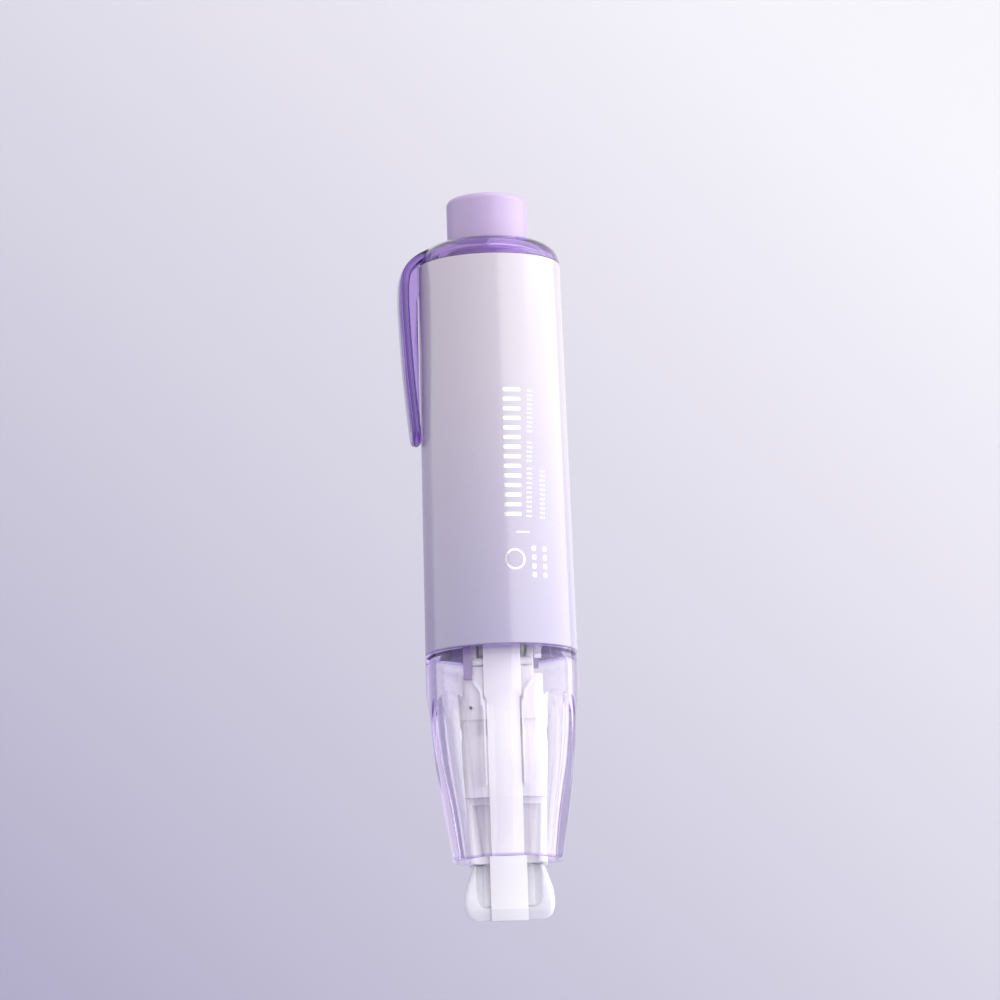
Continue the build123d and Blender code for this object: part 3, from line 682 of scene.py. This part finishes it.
def make_nose():
    """Clear fluted nose with a rounded lip, a tapering bore and its neck."""
    segments = FLUTES * 48
    angles = [2 * pi * k / segments for k in range(segments)]
    top = SLEEVE_LOW - 0.02
    heights = [LIP_LOW + LIP * (1 - cos(pi / 2 * k / 8)) for k in range(9)]
    # The rings stand closer together where the flutes' arched tops run out.
    heights += run(LIP_LOW + LIP, 26.8, 60) + run(26.8, 32.4, 60)
    heights += [33.5, 35.0, top - 0.25, top - 0.1]
    rings = [[(nose_outer(a, z), a, z) for a in angles] for z in heights]
    for r, z in [(10.3, top), (NECK_R + 0.1, top), (NECK_R, top + 0.1)]:
        rings.append([(r, a, z) for a in angles])
    for z in (LUG_LOW - 0.05, LUG_LOW, LUG_HIGH, LUG_HIGH + 0.05, NECK_HIGH - 0.2):
        rings.append([(neck_outer(a, z), a, z) for a in angles])
    for r, z in [(NECK_R - 0.15, NECK_HIGH), (NECK_BORE + 0.1, NECK_HIGH), (NECK_BORE, NECK_HIGH - 0.15),
                 (NECK_BORE, 36.4), (NECK_BORE + 0.02, 36.2), (8.9, 35.2), (8.95, 34.9)]:
        rings.append([(r, a, z) for a in angles])
    for z in [34.5] + run(34.5, 9.5, 47):
        rings.append([(NOSE_BORE(z), a, z) for a in angles])
    for out, up in [(0.0, 0.5), (0.03, 0.3), (0.15, 0.12), (0.29, 0.02)]:
        rings.append([(LIP_BORE + out, a, LIP_LOW + up) for a in angles])
    cartesian = [[(r * cos(a), r * sin(a), z) for r, a, z in ring] for ring in rings]
    nose = rings_surface("nose", cartesian, radians(40))
    dress(nose, "nose")
    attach(nose, "nose")
    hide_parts("nose_grip")


# ------------------------------------------------------------------ pressing head

HEAD_FLANK = smooth_curve(
    [(0.16, 4.78), (0.45, 5.35), (0.9, 5.75), (2.3, 6.12), (3.9, 5.98), (6.0, 5.35), (7.5, 4.8)]
)
HEAD_WEDGE = smooth_curve([(0.16, 0.3), (1.6, 1.15), (3.0, 1.38), (7.5, 1.4)])
HEAD_LOW = 0.16
HEAD_HIGH = 7.5
HEAD_RIM = 0.55
POCKET_HALF = 3.0
POCKET_LOW = 3.1
POCKET_R = 1.4
POCKET_FLOOR = 0.75
PLATE_HALF = 3.44
PLATE_LOW = 1.95
PLATE_FACE = 1.1
STEM_HALF = 3.2
STEM_THICK = 1.4


def soft_step(value, edge, width):
    """0 below edge and 1 above it, with a smooth change over width."""
    t = min(max((value - edge) / width + 0.5, 0.0), 1.0)
    return t * t * (3 - 2 * t)


def head_face(x, z):
    """Half the head's thickness at a point of its front view: rounded rim, pocket and middle plate."""
    half = HEAD_FLANK(z)
    depth = HEAD_WEDGE(z)
    over = max(abs(x) - (half - HEAD_RIM), 0.0) / HEAD_RIM
    depth *= sqrt(max(1 - over * over, 0.0))
    dx = max(abs(x) - POCKET_HALF, 0.0)
    dz = max(POCKET_LOW - z, 0.0)
    pocket = 1 - soft_step(hypot(dx, dz), POCKET_R, 0.16)
    plate = (1 - soft_step(abs(x), PLATE_HALF, 0.14)) * soft_step(z, PLATE_LOW, 0.14)
    sunk = min(depth, POCKET_FLOOR)
    raised = min(depth, PLATE_FACE)
    return depth + pocket * (sunk + plate * (raised - sunk) - depth)


def make_head():
    """Bell-shaped foot with a rounded rim, a pocket on each side and a thin pressing edge."""
    columns = 150
    foot = HEAD_LOW + 0.5
    heights = [HEAD_LOW + (foot - HEAD_LOW) * (k / 14) ** 1.3 for k in range(15)] + run(foot, HEAD_HIGH, 96)
    rings = []
    for z in heights:
        half = HEAD_FLANK(z)
        spots = [-cos(pi * k / columns) for k in range(columns + 1)]
        front = [(half * u, -head_face(half * u, z), z) for u in spots]
        back = [(half * u, head_face(half * u, z), z) for u in reversed(spots[1:-1])]
        rings.append(front + back)
    head = closed_rings("head", rings, radians(50))
    stem = []
    for z, inset in ((7.3, 0.1), (7.4, 0.0), (12.84, 0.0), (12.99, 0.15)):
        w, t = STEM_HALF - inset, STEM_THICK - inset
        outline = rounded([(-w, -t, 0.3), (w, -t, 0.3), (w, t, 0.3), (-w, t, 0.3)], 4)
        stem.append([(x, y, z) for x, y in outline])
    unite(head, [closed_rings("head_stem", stem)])
    dress(head, "head")
    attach(head, "cartridge")
    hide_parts("applicator_head")


# ------------------------------------------------------------------ tape


TAPE_HALF_THICK = 0.06
TAPE_EDGE = 0.02
TAPE_BEND = 0.16
# From the roll over the guide pin, down the front and over the pressing edge, as (depth, height).
TAPE_ROUTE = [(-7.44, 51.2), (-5.74, 34.6), (-4.34, 16.4), (-1.54, 3.0), (-1.29, 1.5), (-0.46, 0.06),
              (0.05, 0.06)]


def bent(points, radius, steps=6):
    """An open line of (y, z) points with its corners rounded."""
    line = [Vector(points[0])]
    for i in range(1, len(points) - 1):
        here = Vector(points[i])
        before = (Vector(points[i - 1]) - here).normalized()
        after = (Vector(points[i + 1]) - here).normalized()
        half = before.angle(after) / 2
        reach = radius * cos(half) / sin(half)
        start, end = here + before * reach, here + after * reach
        for k in range(steps + 1):
            t = k / steps
            line.append(start * (1 - t) ** 2 + here * 2 * t * (1 - t) + end * t * t)
    line.append(Vector(points[-1]))
    return line


def make_tape():
    """White tape from the roll, over the guide pin, down the front and over the pressing edge."""
    half = -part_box("tape_run")[0].x / MM
    thick = TAPE_HALF_THICK
    corners = [(-half, -thick), (half, -thick), (half, thick), (-half, thick)]
    section = rounded([(across, out, TAPE_EDGE) for across, out in corners], 2)
    route = bent(TAPE_ROUTE, TAPE_BEND)
    rings = []
    for i, spot in enumerate(route):
        tangent = (route[min(i + 1, len(route) - 1)] - route[max(i - 1, 0)]).normalized()
        outward = Vector((tangent.y, -tangent.x))
        ring = []
        for across, out in section:
            point = spot + outward * out
            ring.append((across, point.x, point.y))
        rings.append(ring)
    tape = closed_rings("tape", rings, radians(60))
    dress(tape, "tape")
    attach(tape, "cartridge")
    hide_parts("tape_run")


# ------------------------------------------------------------------ spring


def make_spring():
    """Return spring: a steel copy of the CAD coil, smooth shaded, left where the CAD part stands."""
    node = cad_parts["return_spring"]
    spring = bpy.data.objects.new("spring_coil", node.data.copy())
    spring.matrix_world = node.matrix_world.copy()
    bpy.context.scene.collection.objects.link(spring)
    spring.data.shade_smooth()
    spring.data.set_sharp_from_angle(angle=radians(50))
    dress(spring, "steel")
    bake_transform(spring)
    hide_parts("return_spring")


# ------------------------------------------------------------------ print


FOIL_LIFT = 0.02
FOIL_SINK = -0.02
BARS = 14
BAR_ANGLE, BAR_LOW, BAR_PITCH, BAR_LEAN = 13.5, 53.95, 1.32, 0.2
BAR_SIZE = (2.5, 0.55, 0.2)
DASH_SIZE = (0.85, 0.26, 0.1)
DASH_PITCH = 0.62
DASH_LEAN = 0.27
# Runs of dashes, as (angle from the front, lowest height, highest height).
DASH_RUNS = [(25.2, 53.7, 60.2), (25.2, 61.3, 63.8), (25.2, 65.4, 71.0), (36.9, 53.6, 60.0)]
STROKE = (19.8, 51.5, 1.9, 0.22, 0.1)
DOT_ANGLES = (28.2, 37.8)
DOTS, DOT_HIGH, DOT_PITCH = 4, 49.3, 1.2
DOT_SIZE = (0.66, 0.7, 0.18)
RING = (13.0, 47.8, 1.3, 0.26)


def on_sleeve(angle, z, across, up, lift):
    """A point on the sleeve, across and up from an angle and a height, lifted off its surface."""
    r = sleeve_r(z + up) + lift
    a = radians(angle) + across / r
    return (r * sin(a), -r * cos(a), z + up)


def foil_patch(angle, z, wide, high, corner):
    """The sections of one thin patch of foil, rounded at its corners, from side to side."""
    half = wide / 2
    columns = max(round(wide / 0.25), 2)
    spots = [-half + corner * (1 - cos(pi / 2 * k / 4)) for k in range(4)]
    spots += [-half + corner + (wide - 2 * corner) * k / columns for k in range(columns + 1)]
    spots += [-u for u in spots[3::-1]]
    sections = []
    for u in spots:
        over = max(abs(u) - (half - corner), 0.0)
        v = max(high / 2 - corner + sqrt(max(corner ** 2 - over ** 2, 0.0)), 0.01)
        corners = ((-v, FOIL_SINK), (-v, FOIL_LIFT), (v, FOIL_LIFT), (v, FOIL_SINK))
        sections.append([on_sleeve(angle, z, u, up, lift) for up, lift in corners])
    return sections


def foil_ring(angle, z, radius, band):
    """The sections of a plain ring of foil, in order round the ring."""
    steps = 48
    inner, outer = radius - band / 2, radius + band / 2
    corners = ((inner, FOIL_SINK), (inner, FOIL_LIFT), (outer, FOIL_LIFT), (outer, FOIL_SINK))
    sections = []
    for k in range(steps):
        t = 2 * pi * k / steps
        x, y = cos(t), sin(t)
        sections.append([on_sleeve(angle, z, reach * x, reach * y, lift) for reach, lift in corners])
    return sections


def add_foil(build, sections, closed=False):
    """Adds foil to a mesh being built: a skin over its sections, with its ends filled or joined."""
    rows = [[build.verts.new(place(*p)) for p in section] for section in sections]
    pairs = list(zip(rows, rows[1:]))
    if closed:
        pairs.append((rows[-1], rows[0]))
    else:
        build.faces.new(rows[0][::-1])
        build.faces.new(rows[-1])
    for before, after in pairs:
        for k in range(4):
            n = (k + 1) % 4
            build.faces.new((before[k], before[n], after[n], after[k]))


def make_print():
    """Plain foil marks in place of the lettering: a ladder of bars, dashed lines, dots and a ring."""
    patches = [STROKE]
    for k in range(BARS):
        patches.append((BAR_ANGLE + BAR_LEAN * (k - (BARS - 1) / 2), BAR_LOW + BAR_PITCH * k, *BAR_SIZE))
    for angle, low, high in DASH_RUNS:
        count = round((high - low) / DASH_PITCH)
        for z in [low] + run(low, high, count):
            patches.append((angle + DASH_LEAN * (z - 53.5), z, *DASH_SIZE))
    for angle in DOT_ANGLES:
        for k in range(DOTS):
            patches.append((angle, DOT_HIGH - DOT_PITCH * k, *DOT_SIZE))
    build = bmesh.new()
    for patch in patches:
        add_foil(build, foil_patch(*patch))
    add_foil(build, foil_ring(*RING), closed=True)
    bmesh.ops.recalc_face_normals(build, faces=build.faces)
    mesh = bpy.data.meshes.new("print_marks")
    build.to_mesh(mesh)
    build.free()
    mesh.shade_smooth()
    mesh.set_sharp_from_angle(angle=SHARP)
    marks = bpy.data.objects.new("print_marks", mesh)
    bpy.context.scene.collection.objects.link(marks)
    dress(marks, "foil")
    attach(marks, "shell")


# ------------------------------------------------------------------ stage


# Metres from here on.
FLOOR_Z = -0.42
FLOOR_FRONT = -4.0
WALL_Y = 1.6
WALL_TOP = 3.0
COVE_R = 0.5
STAGE_WIDTH = 6.0
# Painted light: the wall's colour runs from a painted shade low down to painted brightness high up, along a
# slanting direction, in place of the light falling off across the wall.
WALL_PAINTED_SHADE = (0.435, 0.42, 0.545)
WALL_PAINTED_LIGHT = (0.88, 0.88, 0.875)
PAINTED_LIGHT_ALONG = (1.1, 0.0, 1.35)
PAINTED_LIGHT_LOW = -0.1
PAINTED_LIGHT_HIGH = 0.86


def make_stage():
    """Pale floor far below the pen, curving up into a plain wall whose painted light brightens it upwards.
    """
    line = [(FLOOR_FRONT, FLOOR_Z), (WALL_Y - COVE_R, FLOOR_Z)]
    for t in run(0, pi / 2, 12):
        line.append((WALL_Y - COVE_R + COVE_R * sin(t), FLOOR_Z + COVE_R - COVE_R * cos(t)))
    line.append((WALL_Y, WALL_TOP))
    mesh = bpy.data.meshes.new("backdrop")
    points = [(x, y, z) for y, z in line for x in (-STAGE_WIDTH / 2, STAGE_WIDTH / 2)]
    faces = [(2 * i, 2 * i + 1, 2 * i + 3, 2 * i + 2) for i in range(len(line) - 1)]
    mesh.from_pydata(points, [], faces)
    mesh.shade_smooth()
    backdrop = bpy.data.objects.new("backdrop", mesh)
    bpy.context.scene.collection.objects.link(backdrop)
    mat, nodes, links, shader, _ = start_material("backdrop_paper")
    across = nodes.new("ShaderNodeVectorMath")
    across.operation = "DOT_PRODUCT"
    across.inputs[1].default_value = PAINTED_LIGHT_ALONG
    links.new(position_input(nodes), across.inputs[0])
    # Painted light: 0 at the painted shade, 1 at the painted brightness.
    painted_light = nodes.new("ShaderNodeMapRange")
    painted_light.inputs["From Min"].default_value = PAINTED_LIGHT_LOW
    painted_light.inputs["From Max"].default_value = PAINTED_LIGHT_HIGH
    links.new(across.outputs["Value"], painted_light.inputs["Value"])
    cloud = noise(nodes, links, 3.0, 2.0)
    mottle = nodes.new("ShaderNodeMath")
    mottle.operation = "MULTIPLY_ADD"
    mottle.inputs[1].default_value = 0.03
    links.new(cloud, mottle.inputs[0])
    links.new(painted_light.outputs["Result"], mottle.inputs[2])
    links.new(ramp(nodes, links, mottle.outputs["Value"], [(0.0, WALL_PAINTED_SHADE), (1.0, WALL_PAINTED_LIGHT)]),
              shader.inputs["Base Color"])
    shader.inputs["Roughness"].default_value = 0.9
    mesh.materials.append(mat)


def area_light(name, location, target, size, size_y, power, colour=(1, 1, 1)):
    """A rectangular softbox aimed at a point."""
    data = bpy.data.lights.new(name, "AREA")
    data.shape = "RECTANGLE"
    data.size = size
    data.size_y = size_y
    data.energy = power
    data.color = colour
    light = bpy.data.objects.new(name, data)
    light.location = location
    aim = Vector(target) - Vector(location)
    light.rotation_euler = aim.to_track_quat("-Z", "Y").to_euler()
    bpy.context.scene.collection.objects.link(light)


def make_lights():
    """Soft studio light: a pale surround and a long softbox that wraps round the pen's right side."""
    world = bpy.data.worlds.new("studio")
    world.use_nodes = True
    background = world.node_tree.nodes["Background"]
    background.inputs["Color"].default_value = (0.95, 0.93, 0.985, 1.0)
    background.inputs["Strength"].default_value = 0.97
    bpy.context.scene.world = world
    area_light("key", (0.956, -0.292, 0.1), (0, 0, 0.03), 3.1, 1.5, 16.7, (1.0, 0.995, 0.98))
    area_light("top", (0.6, -0.05, 0.9), (0, 0, 0.07), 1.0, 1.5, 5.0, (1.0, 0.99, 0.99))


CAMERA_SPOT = (0.0005, -0.7488, TIP - 0.07265)
CAMERA_LENS = 200.3
CAMERA_PITCH = radians(9.87)
CAMERA_ROLL = radians(-1.92)


def make_camera():
    """A long lens, low in front of the pen and looking up at it, rolled by the pen's lean."""
    camera = bpy.data.objects.new("camera", bpy.data.cameras.new("camera"))
    camera.data.lens = CAMERA_LENS
    camera.data.sensor_width = 36.0
    camera.data.clip_start = 0.05
    camera.data.clip_end = 20.0
    turn = Matrix.Rotation(pi / 2 + CAMERA_PITCH, 4, "X") @ Matrix.Rotation(CAMERA_ROLL, 4, "Z")
    camera.matrix_world = Matrix.Translation(Vector(CAMERA_SPOT)) @ turn
    bpy.context.scene.collection.objects.link(camera)
    bpy.context.scene.camera = camera


# ------------------------------------------------------------------ CAD nodes that stay

CAD_LOOKS = {
    "coupling_ring": "lilac",
    "latch_housing": "white",
    "index_rotor": "acetal",
    "spring_washer": "acetal",
    "rod_clip": "steel",
    "carriage": "carriage",
    "cartridge_frame": "refill",
    "cartridge_cover": "refill",
    "guide_pin": "acetal",
    "supply_core": "acetal",
    "tape_roll": "tape",
    "clutch_ring": "rubber",
    "supply_gear": "acetal",
    "idler_gear": "acetal",
    "takeup_spool": "acetal",
    "spent_film": "film",
    "film_run": "film",
}


def dress_cad_nodes():
    """Materials and smooth shading for the CAD pieces that are shown as they are."""
    for name, material in CAD_LOOKS.items():
        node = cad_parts[name]
        node.data.shade_smooth()
        node.data.set_sharp_from_angle(angle=radians(30))
        dress(node, material)


bpy.context.scene.view_settings.view_transform = "Standard"
# Light crosses several layers of clear plastic, one behind the other.
bpy.context.scene.cycles.max_bounces = 24
bpy.context.scene.cycles.transmission_bounces = 24
bpy.context.scene.cycles.glossy_bounces = 16
bpy.context.scene.cycles.transparent_max_bounces = 24
make_camera()
make_sleeve()
make_button()
make_cap()
make_nose()
make_head()
make_tape()
make_spring()
make_print()
dress_cad_nodes()
make_stage()
make_lights()
